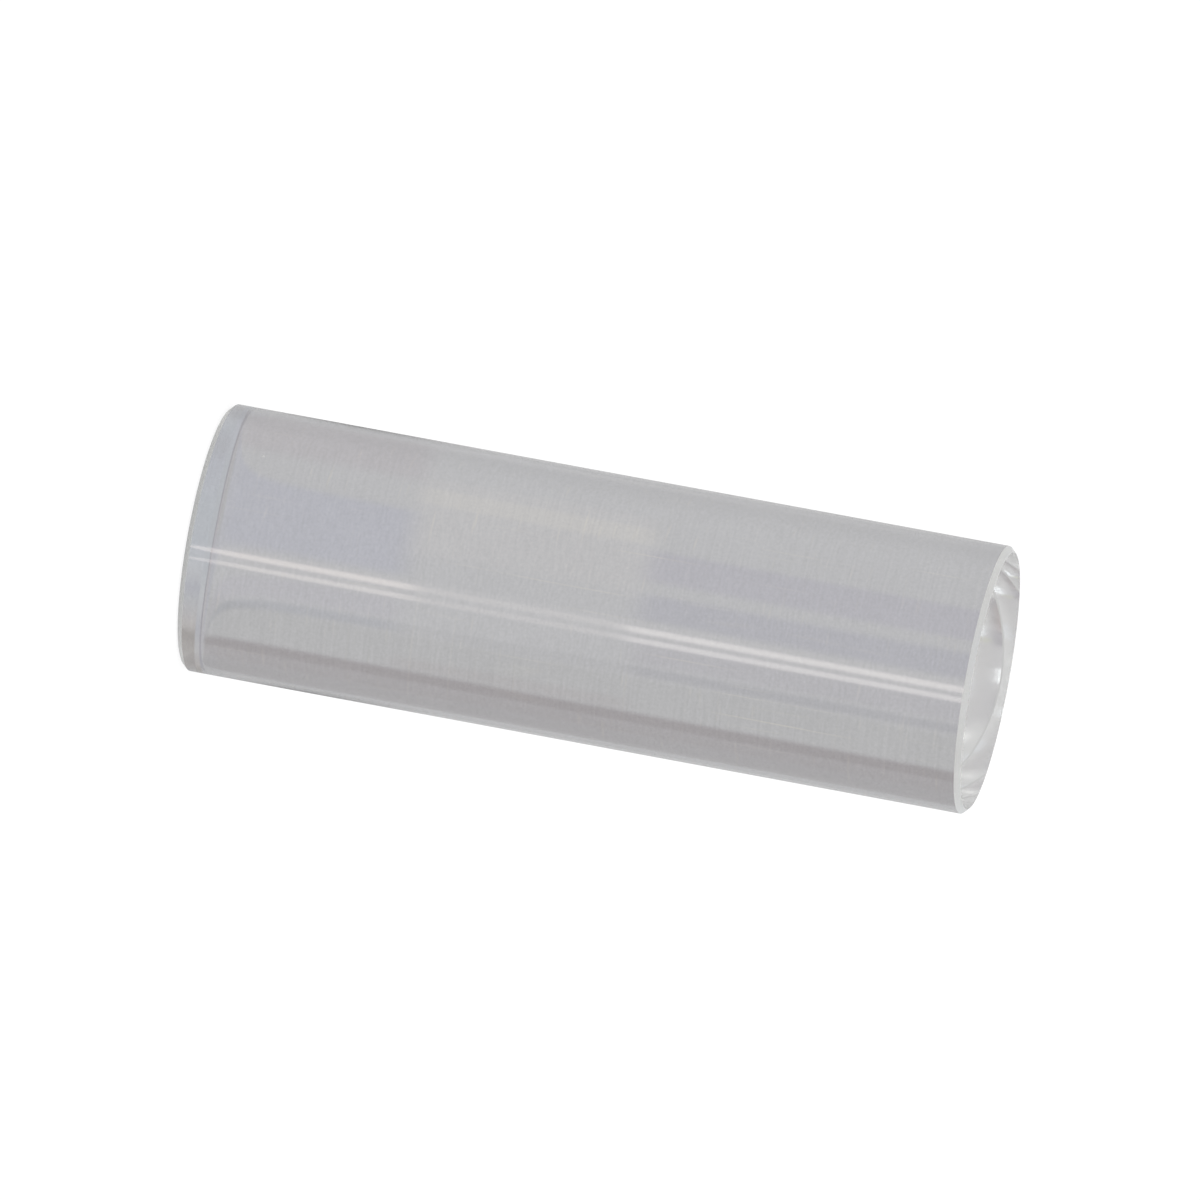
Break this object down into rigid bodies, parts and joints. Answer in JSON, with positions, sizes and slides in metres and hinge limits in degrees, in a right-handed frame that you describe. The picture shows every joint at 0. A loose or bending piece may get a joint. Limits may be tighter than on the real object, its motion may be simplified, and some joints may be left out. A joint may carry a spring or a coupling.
{
  "type": "gradient-index lens",
  "caption": "Small clear rod lens with flat polished ends; its glass bends light by an index that falls from axis to barrel, for collimating or relaying light.",
  "frame": {"origin": "centre of the entry face, on which the lens stands", "axes": "+Z along the optical axis, from the entry face to the exit face"},
  "size_m": [0.0018, 0.0018, 0.0053],
  "materials": {
    "gradient_index_glass": "polished barrel and end faces, finely ground rim bevels"
  },
  "bodies": {
    "root": {"rod_lens": "gradient_index_glass"}
  },
  "joints": []
}
